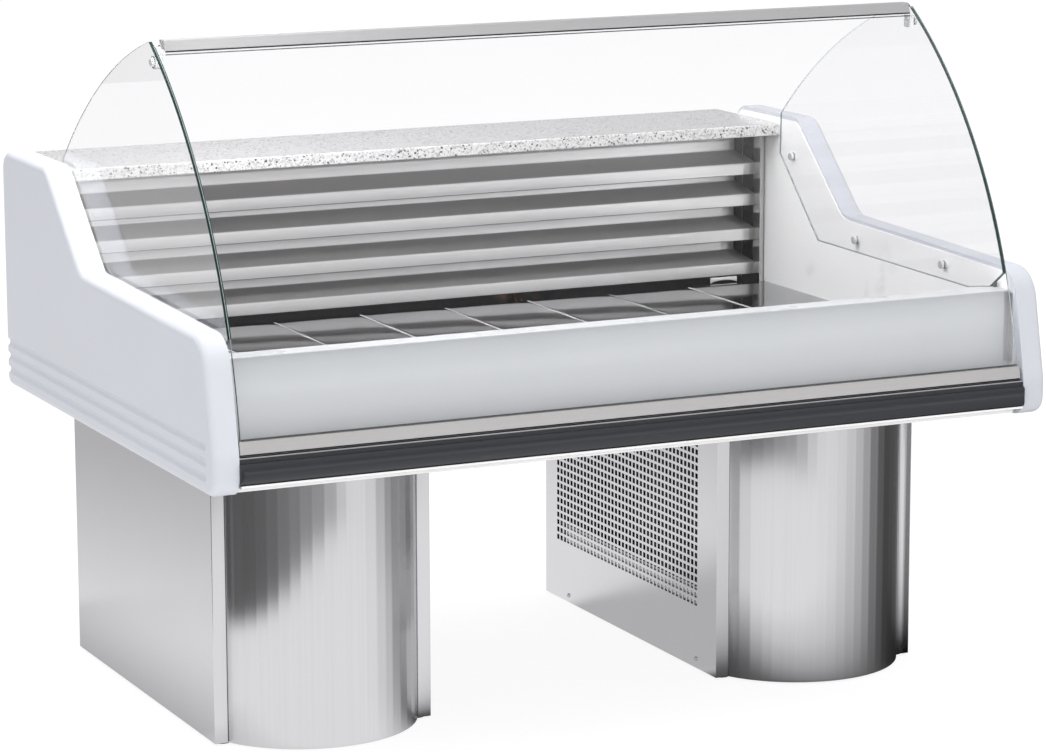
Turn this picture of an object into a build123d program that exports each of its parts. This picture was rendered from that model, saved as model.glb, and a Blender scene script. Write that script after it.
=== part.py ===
from build123d import *
import os
from math import sin, cos, asin, sqrt, radians, pi

# Refrigerated fish counter, free-standing on two pedestals.
# Millimetres, +Z up, +X along the counter, -Y is the customer side.
# While modelling, y is counted from the flat front of the pedestals; every
# piece is moved by -Y_MID on export, so that the origin is on the floor in
# the middle of the overall box.

os.makedirs("parts", exist_ok=True)

# ---------------------------------------------------------------- dimensions
Y_MID = 291.0          # middle of the depth, from the pedestal front plane
INNER = 750.0          # inner face of each end wall
WALL_T = 46.0          # end wall thickness
OUTER = INNER + WALL_T
WALL_BOTTOM = 505.0
WALL_BACK = 800.0
WALL_TOP = 947.0
LINER_T = 3.0          # white inner liner of each end wall
LINER_X = INNER - LINER_T

# curved front glass: one arc seen from the side
GL_CY, GL_CZ = 616.4, 463.0
GL_R = 903.4           # outer radius
GL_T = 6.0
GL_HALF = 742.0
GL_Z0, GL_Z1 = 588.0, 1206.0
HINGE_Y, HINGE_Z = -276.0, 584.5
PIN_R = 4.0

# side glasses
SG_X0, SG_X1 = 738.0, 744.0
SG_GAP = 1.6           # between side glass edge and front glass
STUDS = [(549.0, 871.0), (298.0, 741.0), (-21.0, 741.0)]
CLIP_Y, CLIP_Z = 102.0, 1177.0

TOP_Z = 1214.0         # overall height, top of the glass bar
BAR_HALF = 727.0

# worktop and louvre
GRANITE_Y0, GRANITE_Y1 = 615.0, 882.0
GRANITE_Z0, GRANITE_Z1 = 905.0, 928.0
SLAT_LIPS = [817.5, 755.0, 685.0, 616.0]   # lower edge of each front lip
SLAT_LIP_H = 24.0
SLAT_Y0, SLAT_Y1 = 694.0, 740.0
SLAT_RISE = 21.0
SLAT_FLANGE = 28.0
SLAT_HALF = 735.0
SHEET = 2.0

# deck plates
DECK_Z = 608.0
DECK_EDGE = 8.0
DECK_Y0, DECK_Y1 = -186.0, 663.0
DECK_PITCH = 176.6
DECK_RIGHT = 744.3
DECK_GAP = 0.8

# tub and casing
TUB_X = 746.0
TUB_FLOOR = 545.0
CASE_Z = 508.0
CASE_X = 749.5
CASE_BACK = 799.0

# pedestals
PED_XC = 489.5
PED_HW = 204.0
PED_D = 722.0
PED_Z0, PED_Z1 = 3.0, 506.0
CURVE_R = 199.0
CURVE_CY = 89.0        # centre of the curved front, 110 mm bulge
FLANGE_IN = 179.5      # half width of the front opening
DRAIN_X, DRAIN_Y = -489.5, 300.0
PIPE_X, PIPE_Y = 335.0, 676.0

# perforated panel
HOLE = 10.0
HOLE_PITCH = 15.0
HOLE_COLS, HOLE_ROWS = 40, 22
HOLE_Y0, HOLE_Z0 = 81.0, 126.0

# condensing unit
FAN_Y, FAN_Z = 210.0, 250.0
COMP_X, COMP_Y = 540.0, 560.0

# operator's control panel
CP_X, CP_Z = 420.0, 760.0
CP_Y0, CP_Y1 = 799.0, 807.0
ROCKER_TILT = 9.0


# ------------------------------------------------------------------- helpers
def bx(x0, x1, y0, y1, z0, z1):
    return Pos((x0 + x1) / 2, (y0 + y1) / 2, (z0 + z1) / 2) * Box(x1 - x0, y1 - y0, z1 - z0)


def cyl_z(x, y, z0, z1, r):
    return Pos(x, y, (z0 + z1) / 2) * Cylinder(r, z1 - z0)


def cyl_x(x0, x1, y, z, r):
    return Pos((x0 + x1) / 2, y, z) * Rot(0, 90, 0) * Cylinder(r, x1 - x0)


def cyl_y(x, y0, y1, z, r):
    return Pos(x, (y0 + y1) / 2, z) * Rot(90, 0, 0) * Cylinder(r, y1 - y0)


def prism_x(outline, x0, x1):
    """Outline in (y, z), extruded from x0 to x1."""
    if isinstance(outline, (list, tuple)) and isinstance(outline[0], tuple):
        outline = Polyline(*outline, close=True)
    return extrude(Plane.YZ.offset(x0) * make_face(outline), amount=x1 - x0)


def tube(points, radius, bend):
    path = FilletPolyline(*points, radius=bend)
    start = Vector(*points[0])
    way = Vector(*points[1]) - start
    return sweep(Plane(origin=start, z_dir=way) * Circle(radius), path=path)


def half_ring(p0, out, bend, r):
    """Return bend: half a torus from p0, its other end 2*bend higher; out is +-X or +-Y."""
    mid = Vector(*p0) + Vector(0, 0, bend) + Vector(*out) * bend
    end = Vector(*p0) + Vector(0, 0, 2 * bend)
    path = ThreePointArc(p0, mid, end)
    return sweep(Plane(origin=p0, z_dir=out) * Circle(r), path=path)


def group(pieces):
    solids = []
    for p in pieces:
        solids += list(p.solids())
    return Compound(solids)


def flip(shape):
    return mirror(shape, about=Plane.YZ)


def put(name, shape):
    export_step(shape.moved(Location((0, -Y_MID, 0))), "parts/" + name + ".step")


def on_arc(r, z):
    return (GL_CY - sqrt(r * r - (z - GL_CZ) ** 2), z)


def at_angle(r, a):
    return (GL_CY - r * cos(a), GL_CZ + r * sin(a))


def glass_section(r_out, r_in, z0, z1):
    a0 = asin((z0 - GL_CZ) / r_out)
    a1 = asin((z1 - GL_CZ) / r_out)
    am = (a0 + a1) / 2
    return [
        ThreePointArc(at_angle(r_out, a0), at_angle(r_out, am), at_angle(r_out, a1)),
        Line(at_angle(r_out, a1), at_angle(r_in, a1)),
        ThreePointArc(at_angle(r_in, a1), at_angle(r_in, am), at_angle(r_in, a0)),
        Line(at_angle(r_in, a0), at_angle(r_out, a0)),
    ]


# ----------------------------------------------------------------- end walls
wall_line = FilletPolyline(
    (WALL_BACK, WALL_BOTTOM), (WALL_BACK, WALL_TOP), (545, WALL_TOP), (362, 780),
    (-250, 765), (-290, 572), (-290, WALL_BOTTOM),
    radius=[18, 36, 46, 52, 62, 70, 32], close=True)
wall = prism_x(wall_line, INNER, OUTER)
wall = fillet(wall.faces().sort_by(Axis.X)[-1].edges(), 12)
for gz in (587, 561, 535):
    # shallow round groove along the outer face and round the back edge
    path = FilletPolyline((OUTER + 5, -250, gz), (OUTER + 5, WALL_BACK + 5, gz),
                          (INNER - 6, WALL_BACK + 5, gz), radius=17)
    wall -= sweep(Plane(origin=(OUTER + 5, -250, gz), z_dir=(0, 1, 0)) * Circle(9), path=path)
    wall -= Pos(OUTER + 5, -250, gz) * Sphere(9)
wall -= cyl_x(INNER - 1, INNER + 16, HINGE_Y, HINGE_Z, PIN_R + 0.4)
put("end_wall_right", wall)
put("end_wall_left", flip(wall))

liner_line = FilletPolyline(
    (796, 560), (796, 939), (543, 939), (359, 773), (-214, 759), (-231, 735), (-231, 560),
    radius=[4, 28, 40, 56, 20, 20, 4], close=True)
liner = prism_x(liner_line, LINER_X, INNER)
put("inner_liner_right", liner)
put("inner_liner_left", flip(liner))

# --------------------------------------------------------------- side glasses
sg_r = GL_R - GL_T - SG_GAP
tip = on_arc(sg_r, 1210)
low = on_arc(sg_r, 757)
a_tip = asin((1210 - GL_CZ) / sg_r)
a_low = asin((757 - GL_CZ) / sg_r)
side = prism_x([
    ThreePointArc(low, at_angle(sg_r, (a_tip + a_low) / 2), tip),
    Line(tip, (tip[0] + 9, 1208)),
    ThreePointArc((tip[0] + 9, 1208), (398, 1099), (596, 952)),
    Line((596, 952), (599, 872)),
    Line((599, 872), (443, 719)),
    Line((443, 719), (-110, 713)),
    Line((-110, 713), (-185, 725)),
    Line((-185, 725), low),
], SG_X0, SG_X1)
for sy, sz in STUDS + [(CLIP_Y, CLIP_Z)]:
    side -= cyl_x(SG_X0 - 1, SG_X1 + 1, sy, sz, 4.2)
put("side_glass_right", side)
put("side_glass_left", flip(side))

studs = []
for sy, sz in STUDS:
    head = cyl_x(SG_X0 - 5, SG_X0, sy, sz, 8)
    head = fillet(head.faces().sort_by(Axis.X)[0].edges(), 2)
    stud = head + cyl_x(SG_X0, SG_X1, sy, sz, 4) + cyl_x(SG_X1, LINER_X, sy, sz, 8)
    studs += [stud, flip(stud)]
put("side_glass_studs", group(studs))

clip = bx(SG_X0 - 9, SG_X0, CLIP_Y - 8, CLIP_Y + 12, CLIP_Z - 11, CLIP_Z + 11)
clip = fillet(clip.edges().filter_by(Axis.X), 3)
button = cyl_x(SG_X1, SG_X1 + 5, CLIP_Y, CLIP_Z, 8)
button = fillet(button.faces().sort_by(Axis.X)[-1].edges(), 2)
clip = clip + cyl_x(SG_X0, SG_X1, CLIP_Y, CLIP_Z, 4) + button
put("glass_corner_clips", group([clip, flip(clip)]))

# ----------------------------------------------------- tilting front glass
front_glass = prism_x(glass_section(GL_R, GL_R - GL_T, GL_Z0, GL_Z1), -GL_HALF, GL_HALF)
put("front_glass", front_glass)
slot = prism_x(glass_section(GL_R, GL_R - GL_T, GL_Z0, GL_Z1), -INNER, INNER)

bar = prism_x(FilletPolyline((86.5, 1196.5), (94.5, TOP_Z), (117, TOP_Z), (108.5, 1196.5),
                             radius=[0.8, 1.6, 1.6, 0.8], close=True), -BAR_HALF, BAR_HALF)
put("glass_top_bar", bar - slot)

strip = prism_x(FilletPolyline((-284.5, 574), (-280, 595.5), (-268, 595.5), (-268, 574),
                               radius=[1, 0.8, 0.8, 1], close=True), -746, 746)
pin = cyl_x(732, 762, HINGE_Y, HINGE_Z, PIN_R)
pin_seat = cyl_x(732, 747, HINGE_Y, HINGE_Z, PIN_R)
strip = strip - slot - pin_seat - flip(pin_seat)
put("glass_bottom_profile", strip)
put("glass_hinge_pins", group([pin - slot, flip(pin - slot)]))

# ------------------------------------------------------------- front apron
apron = prism_x([(-235, 724), (-235, 570), (-264, 570), (-264, 508), (-262, 508),
                 (-262, 568), (-233, 568), (-233, 724)], -CASE_X, CASE_X)
put("front_panel", apron)

sill = prism_x(FilletPolyline((-238, 715), (-238, 727), (-192, 727), (-192, 715),
                              radius=[1, 1.4, 4, 1], close=True), -746.5, 746.5)
# the apron sheet stands in front of the sill, under a thin overhanging lip
sill -= bx(-800, 800, -240, -233, 700, 724)
put("front_sill", sill)

carrier = prism_x([(-287, 570), (-264, 570), (-264, 520), (-292.5, 520), (-292.5, 524.5),
                   (-267, 524.5), (-267, 567.5), (-287, 567.5)], -CASE_X, CASE_X)
put("bumper_carrier", carrier)

bumper = prism_x([
    Line((-267, 525), (-291, 525)),
    ThreePointArc((-291, 525), (-300, 543), (-291, 560)),
    Line((-291, 560), (-287.5, 561)),
    Line((-287.5, 561), (-287.5, 567)),
    Line((-287.5, 567), (-267, 567)),
    Line((-267, 567), (-267, 525)),
], -749.7, 749.7)
plan_box = bx(-749.7, 749.7, -300.2, -260, 515, 580)
plan_box = fillet(plan_box.edges().filter_by(Axis.Z).sort_by(Axis.Y)[:2], 8)
bumper = bumper & plan_box
put("bumper", bumper)

# ------------------------------------------------------ tub, foam and casing
tub = prism_x([(-190, 715), (-190, TUB_FLOOR), (770, TUB_FLOOR), (770, 903), (768, 903),
               (768, TUB_FLOOR + SHEET), (-188, TUB_FLOOR + SHEET), (-188, 715)], -TUB_X, TUB_X)
tub += bx(TUB_X - SHEET, TUB_X, -190, 770, TUB_FLOOR, 598)
tub += bx(-TUB_X, -TUB_X + SHEET, -190, 770, TUB_FLOOR, 598)
tub -= cyl_z(DRAIN_X, DRAIN_Y, 540, 552, 20.5)
tub -= cyl_z(PIPE_X, PIPE_Y, 540, 552, 7)
put("tub", tub)

foam = prism_x([(-233, 713), (-233, 568), (-262, 568), (-262, 510), (797, 510), (797, 900),
                (770, 900), (770, TUB_FLOOR), (-190, TUB_FLOOR), (-190, 713)], -TUB_X, TUB_X)
foam -= cyl_z(DRAIN_X, DRAIN_Y, 505, 550, 21)
foam -= cyl_z(PIPE_X, PIPE_Y, 505, 550, 8)
foam -= bx(CP_X - 92, CP_X + 92, 778, 800, CP_Z - 29, CP_Z + 29)
put("tub_insulation", foam)

# bottom sheet, back sheet and the flange strip under the worktop
case_floor = bx(-CASE_X, CASE_X, -262, 797, CASE_Z, CASE_Z + SHEET)
case_floor -= cyl_z(DRAIN_X, DRAIN_Y, 500, 515, 21)
case_floor -= cyl_z(PIPE_X, PIPE_Y, 500, 515, 8)
case_back = bx(-CASE_X, CASE_X, 797, CASE_BACK, CASE_Z, 905)
case_back -= bx(CP_X - 92, CP_X + 92, 790, 805, CP_Z - 29, CP_Z + 29)
case_flange = bx(-746.6, 746.6, 772, 797, 903, 905)
put("rear_casing", group([case_floor, case_back, case_flange]))

# flanged drain pipe with a wider spigot at its lower end
drain = cyl_z(DRAIN_X, DRAIN_Y, 547, 549, 32) + cyl_z(DRAIN_X, DRAIN_Y, 280, 548, 18.5)
drain += cyl_z(DRAIN_X, DRAIN_Y, 230, 290, 20)
drain -= cyl_z(DRAIN_X, DRAIN_Y, 220, 560, 16)
for k in (-8, 0, 8):
    drain += bx(DRAIN_X - 16.5, DRAIN_X + 16.5, DRAIN_Y + k - 1, DRAIN_Y + k + 1, 545, 548)
put("drain_outlet", drain)

# ------------------------------------------------------------------ worktop
granite = bx(-746.5, 746.5, GRANITE_Y0, GRANITE_Y1, GRANITE_Z0, GRANITE_Z1)
granite = fillet(granite.edges().filter_by(Axis.X), 2.5)
put("granite_worktop", granite)

# ------------------------------------------------------- louvre, evaporator
post = bx(735, 743.5, 672, 745, TUB_FLOOR + SHEET, 905)
post -= bx(737, 745, 674, 743, 540, 910)
put("louvre_post_right", post)
put("louvre_post_left", flip(post))

for i, z in enumerate(SLAT_LIPS):
    t = z + SLAT_LIP_H
    b = t + SLAT_RISE
    slat = prism_x([(SLAT_Y0, z), (SLAT_Y0, t), (SLAT_Y1, b), (SLAT_Y1, b + SLAT_FLANGE),
                    (SLAT_Y1 + 2, b + SLAT_FLANGE), (SLAT_Y1 + 2, b - 1.3),
                    (SLAT_Y0 + 2, t - 1.3), (SLAT_Y0 + 2, z)], -SLAT_HALF, SLAT_HALF)
    put("louvre_slat_%d" % (i + 1), slat)

fins = bx(-680, 680, 744, 768, 648, 862)
cuts = [bx(x - 6, x + 6, 743, 757, 652, 858) for x in range(-660, 661, 20)]
fins -= Compound([c.solid() for c in cuts])
put("evaporator_fins", fins)
bends = [half_ring((680, 756, z), (1, 0, 0), 17.5, 5) for z in (665, 735, 805)]
bends += [half_ring((-680, 756, z), (-1, 0, 0), 17.5, 5) for z in (700, 770)]
put("evaporator_tubes", group(bends))

# --------------------------------------------------------------- deck plates
# two rails, five cross bars and ten legs, butted together
frame = [bx(-738, 738, -186, -166, 580, 600), bx(-738, 738, 625, 645, 580, 600)]
for x in (-728, -364, 0, 364, 728):
    frame.append(bx(x - 10, x + 10, -166, 625, 580, 600))
    frame.append(bx(x - 10, x + 10, -186, -166, TUB_FLOOR + SHEET, 580))
    frame.append(bx(x - 10, x + 10, 625, 645, TUB_FLOOR + SHEET, 580))
put("deck_frame", group(frame))


def deck_plate(x0, x1):
    plate = bx(x0, x1, DECK_Y0, DECK_Y1, DECK_Z - DECK_EDGE, DECK_Z)
    plate = fillet(plate.faces().sort_by(Axis.Z)[-1].edges(), 2.0)
    return plate - bx(x0 + 2, x1 - 2, DECK_Y0 + 2, DECK_Y1 - 2, DECK_Z - DECK_EDGE - 1, DECK_Z - 2)


for i in range(8):
    right = DECK_RIGHT - i * DECK_PITCH
    put("deck_pan_%d" % (i + 1), deck_plate(right - DECK_PITCH + DECK_GAP / 2, right - DECK_GAP / 2))
put("deck_end_strip", deck_plate(-743.9, DECK_RIGHT - 8 * DECK_PITCH - DECK_GAP / 2))

# ---------------------------------------------------------------- pedestals
def plan(pts, z0, z1):
    return extrude(Pos(0, 0, z0) * make_face(Polyline(*pts, close=True)), amount=z1 - z0)


def shell(xc):
    body = bx(xc - PED_HW, xc + PED_HW, 0, PED_D, PED_Z0, PED_Z1)
    body -= bx(xc - PED_HW + SHEET, xc + PED_HW - SHEET, SHEET, PED_D - SHEET, 0, 520)
    return body - bx(xc - FLANGE_IN, xc + FLANGE_IN, -5, 5, 0, 520)


def curved_front(xc):
    # curved sheet, two stiffening ribs inside it and a joint strip behind each flange
    behind = bx(xc - 300, xc + 300, 2, 400, 0, 520)
    sheet = cyl_z(xc, CURVE_CY, PED_Z0, PED_Z1, CURVE_R) - cyl_z(xc, CURVE_CY, 0, 520, CURVE_R - SHEET)
    pieces = [sheet - behind]
    for z in (20, 486):
        pieces.append(cyl_z(xc, CURVE_CY, z, z + 2, CURVE_R - SHEET - 0.05) - behind)
    for s in (-1, 1):
        x0, x1 = sorted((xc + s * 176, xc + s * 198))
        pieces.append(bx(x0, x1, 2, 4, PED_Z0, PED_Z1))
    return group(pieces)


def pedestal_frame(xc, tray):
    w, y0, y1, z0, z1 = 201.5, 5.0, 719.0, 20.0, CASE_Z
    f = None
    for s in (-1, 1):
        xo = xc + s * w
        for ye, d in ((y0, 1), (y1, -1)):
            a = bx(*sorted((xo, xo - s * 30)), *sorted((ye, ye + d * 3)), z0, z1)
            a += bx(*sorted((xo, xo - s * 3)), *sorted((ye, ye + d * 30)), z0, z1)
            f = a if f is None else f + a
        for z, d in ((z0, 1), (z1, -1)):
            f += bx(*sorted((xo, xo - s * 30)), y0, y1, *sorted((z, z + d * 3)))
            f += bx(*sorted((xo, xo - s * 3)), y0, y1, *sorted((z, z + d * 30)))
    for ye, d in ((y0, 1), (y1, -1)):
        for z, e in ((z0, 1), (z1, -1)):
            f += bx(xc - w, xc + w, *sorted((ye, ye + d * 30)), *sorted((z, z + e * 3)))
            f += bx(xc - w, xc + w, *sorted((ye, ye + d * 3)), *sorted((z, z + e * 30)))
    if tray:
        # drip tray lying on the lower angles
        return group([f, bx(xc - w + 3, xc + w - 3, y0 + 3, y1 - 3, 23, 25)])
    return f


put("pedestal_left_casing", shell(-PED_XC))
put("pedestal_left_front", curved_front(-PED_XC))
put("pedestal_left_frame", pedestal_frame(-PED_XC, False))
put("pedestal_right_front", curved_front(PED_XC))
put("pedestal_right_frame", pedestal_frame(PED_XC, True))

grille_x = PED_XC - PED_HW
# the right pedestal's casing: outer side sheet, front flange and a back panel with five wide air slots
right_x = PED_XC + PED_HW
back_x0, back_x1 = grille_x + 25.5, right_x - SHEET
side_sheet = bx(right_x - SHEET, right_x, 0, PED_D, PED_Z0, PED_Z1)
flange = bx(PED_XC + FLANGE_IN, right_x - SHEET, 0, SHEET, PED_Z0, PED_Z1)
back_low = bx(back_x0, back_x1, PED_D - SHEET, PED_D, PED_Z0, 128) - cyl_y(640, 715, 730, 80, 10)
back_panel = [back_low, bx(back_x0, back_x1, PED_D - SHEET, PED_D, 466, PED_Z1),
              bx(back_x0, 345, PED_D - SHEET, PED_D, 128, 466), bx(657, back_x1, PED_D - SHEET, PED_D, 128, 466)]
back_panel += [bx(345, 657, PED_D - SHEET, PED_D, z, z + 12) for z in (186, 256, 326, 396)]
put("pedestal_right_casing", group([side_sheet, flange] + back_panel))

outer = Wire(Polyline((0, PED_Z0), (PED_D, PED_Z0), (PED_D, PED_Z1), (0, PED_Z1), close=True).edges())
holes = []
for r in range(HOLE_ROWS):
    for c in range(HOLE_COLS):
        y, z = HOLE_Y0 + c * HOLE_PITCH, HOLE_Z0 + r * HOLE_PITCH
        h = HOLE / 2
        holes.append(Wire(Polyline((y - h, z - h), (y + h, z - h), (y + h, z + h), (y - h, z + h),
                                   close=True).edges()))
grille = extrude(Plane.YZ.offset(grille_x) * Face(outer, holes), amount=SHEET)
grille_flanges = [bx(grille_x + SHEET, grille_x + 24.5, y, y + SHEET, PED_Z0, PED_Z1) for y in (0, PED_D - SHEET)]
put("pedestal_right_grille", group([grille] + grille_flanges))

feet = []
for xc in (-PED_XC, PED_XC):
    for dx in (-183, 183):
        for y in (22, 702):
            foot = cyl_z(xc + dx, y, 0, 8, 16)
            foot = fillet(foot.faces().sort_by(Axis.Z)[-1].edges(), 3)
            feet.append(foot + cyl_z(xc + dx, y, 8, 20, 6))
put("levelling_feet", group(feet))

# ----------------------------------------------------------- condensing unit
comp = cyl_z(COMP_X, COMP_Y, 50, 250, 80)
comp = fillet(comp.faces().sort_by(Axis.Z)[-1].edges(), 45)
comp += bx(COMP_X - 100, COMP_X + 100, COMP_Y - 60, COMP_Y + 60, 45, 51)
for dx in (-85, 85):
    for dy in (-45, 45):
        comp += cyl_z(COMP_X + dx, COMP_Y + dy, 25, 46, 11)
comp += bx(COMP_X + 70, COMP_X + 108, COMP_Y - 30, COMP_Y + 30, 110, 180)
put("compressor", comp)

coil = bx(300, 340, 60, 360, 80, 420)
coil -= Compound([bx(299, 314, y - 3, y + 3, 86, 414).solid() for y in range(70, 351, 10)])
coil += bx(300, 340, 60, 63, 25, 81) + bx(300, 340, 357, 360, 25, 81)
put("condenser_coil", coil)

shroud = bx(340, 342, 60, 360, 80, 420) - cyl_x(330, 350, FAN_Y, FAN_Z, 122)
shroud += cyl_x(341, 382, FAN_Y, FAN_Z, 124.5) - cyl_x(330, 390, FAN_Y, FAN_Z, 122)
shroud += bx(380, 384, FAN_Y - 9, FAN_Y + 9, FAN_Z - 124, FAN_Z + 124) - cyl_x(370, 390, FAN_Y, FAN_Z, 6)
put("fan_shroud", shroud)

motor = cyl_x(384, 448, FAN_Y, FAN_Z, 42)
motor = fillet(motor.faces().sort_by(Axis.X)[-1].edges(), 8)
motor -= cyl_x(383, 398, FAN_Y, FAN_Z, 4.4)
put("fan_motor", motor)

fan = cyl_x(346, 374, FAN_Y, FAN_Z, 30) + cyl_x(373, 396, FAN_Y, FAN_Z, 4)
for k in range(5):
    blade = Pos(0, 0, 70) * Rot(0, 0, 28) * Box(2.5, 62, 88)
    fan += Pos(360, FAN_Y, FAN_Z) * Rot(72 * k, 0, 0) * blade
put("condenser_fan", fan)

pipes = [
    tube([(COMP_X, COMP_Y, 250), (COMP_X, COMP_Y, 360), (PIPE_X, COMP_Y, 360), (PIPE_X, PIPE_Y, 360),
          (PIPE_X, PIPE_Y, 588), (235, PIPE_Y, 588), (235, 756, 588), (235, 756, 648)], 6, 28),
    tube([(COMP_X, COMP_Y - 80, 180), (COMP_X, 430, 180), (COMP_X, 430, 395), (320, 430, 395),
          (320, 360, 395)], 5, 22),
]
pipes += [half_ring((320, 360, 100 + 36 * k), (0, 1, 0), 13, 4.5) for k in range(7)]
put("refrigerant_pipes", group(pipes))

gland = cyl_y(640, PED_D, PED_D + 8, 80, 14) + cyl_y(640, PED_D + 7, PED_D + 24, 80, 10.5)
gland = gland + cyl_y(640, PED_D - 8, PED_D + 1, 80, 9.8)
gland -= cyl_y(640, PED_D - 10, PED_D + 30, 80, 5)
put("cable_gland", gland)

# ------------------------------------------------------------ control panel
panel = bx(CP_X - 100, CP_X + 100, CP_Y0, CP_Y1, CP_Z - 35, CP_Z + 35)
panel = fillet(panel.edges().filter_by(Axis.Y), 6)
panel = fillet(panel.faces().sort_by(Axis.Y)[-1].edges(), 1.5)
panel -= bx(CP_X - 92, CP_X + 92, CP_Y0 - 1, 802.5, CP_Z - 29, CP_Z + 29)
panel -= bx(CP_X - 75, CP_X - 17, 801, 810, CP_Z - 13, CP_Z + 13)
for bxx in (CP_X + 8, CP_X + 32):
    panel -= cyl_y(bxx, 801, 810, CP_Z, 6.4)
panel -= bx(CP_X + 60.5, CP_X + 75.5, 801, 810, CP_Z - 13.6, CP_Z + 13.6)
put("control_panel", panel)

display = bx(CP_X - 75, CP_X - 17, 802.5, 807.6, CP_Z - 13, CP_Z + 13)
display = fillet(display.faces().sort_by(Axis.Y)[-1].edges(), 0.8)
put("thermostat_display", display)

for name, bxx in (("button_up", CP_X + 8), ("button_down", CP_X + 32)):
    cap = cyl_y(bxx, 802.1, 808.8, CP_Z, 6)
    cap = fillet(cap.faces().sort_by(Axis.Y)[-1].edges(), 0.8)
    put(name, cap + cyl_y(bxx, 800.7, 802.2, CP_Z, 7.6))

rocker = prism_x([(800.5, -8), (800.5, 8), (804, 12), (807.9, 12), (806, 0), (807.9, -12), (804, -12)],
                 CP_X + 61, CP_X + 75)
rocker = Pos(0, 803, CP_Z) * Rot(-ROCKER_TILT, 0, 0) * Pos(0, -803, 0) * rocker
rocker += cyl_x(CP_X + 60.65, CP_X + 75.35, 803, CP_Z, 1.2)
put("power_rocker", rocker)

# -------------------------------------------------------------- panel screws
def screw(origin, way):
    head = Cylinder(4.5, 2.4, align=(Align.CENTER, Align.CENTER, Align.MIN))
    head = fillet(head.faces().sort_by(Axis.Z)[-1].edges(), 1.2)
    head -= Pos(0, 0, 2) * (Box(5, 1, 1.2) + Box(1, 5, 1.2))
    return Plane(origin=origin, z_dir=way) * head


screws = [screw((grille_x, y, z), (-1, 0, 0)) for y, z in ((620, 16), (80, 20), (620, 480), (80, 480))]
screws += [screw((CP_X + dx, CP_Y1, CP_Z), (0, 1, 0)) for dx in (-88, 88)]
screws += [screw((x, CASE_BACK, z), (0, 1, 0)) for x in (-735, -250, 250, 735) for z in (525, 885)]
screws += [screw((x, PED_D, z), (0, 1, 0)) for x in (-675, -304, 320, 675) for z in (30, 480)]
put("panel_screws", group(screws))
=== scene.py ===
import math
import random

import bpy
from mathutils import Matrix, Vector


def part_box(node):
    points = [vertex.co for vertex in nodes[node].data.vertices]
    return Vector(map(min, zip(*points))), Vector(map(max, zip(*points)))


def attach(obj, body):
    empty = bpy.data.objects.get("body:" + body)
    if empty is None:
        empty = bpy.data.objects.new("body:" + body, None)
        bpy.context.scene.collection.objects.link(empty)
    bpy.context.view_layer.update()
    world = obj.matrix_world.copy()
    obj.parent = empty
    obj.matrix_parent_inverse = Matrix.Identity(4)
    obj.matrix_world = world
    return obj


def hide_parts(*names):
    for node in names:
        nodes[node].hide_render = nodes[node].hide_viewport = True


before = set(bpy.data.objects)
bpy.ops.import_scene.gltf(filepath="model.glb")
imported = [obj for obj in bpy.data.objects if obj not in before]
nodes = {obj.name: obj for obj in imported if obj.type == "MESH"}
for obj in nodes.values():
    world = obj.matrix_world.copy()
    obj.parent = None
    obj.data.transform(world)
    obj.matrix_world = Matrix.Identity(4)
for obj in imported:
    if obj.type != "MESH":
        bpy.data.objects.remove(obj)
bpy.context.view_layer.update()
scene = bpy.context.scene
Y_MID = 0.291          # drawing y is counted from the flat front of the pedestals


# =========================================================== material helpers
SOCKETS = {
    "color": "Base Color", "metallic": "Metallic", "rough": "Roughness", "ior": "IOR", "spec": "Specular IOR Level",
    "aniso": "Anisotropic", "arot": "Anisotropic Rotation", "trans": "Transmission Weight", "coat": "Coat Weight",
    "coat_rough": "Coat Roughness", "sheen": "Sheen Weight", "glow": "Emission Color", "glow_strength": "Emission Strength",
    "sss": "Subsurface Weight", "sss_scale": "Subsurface Scale",
}


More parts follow.
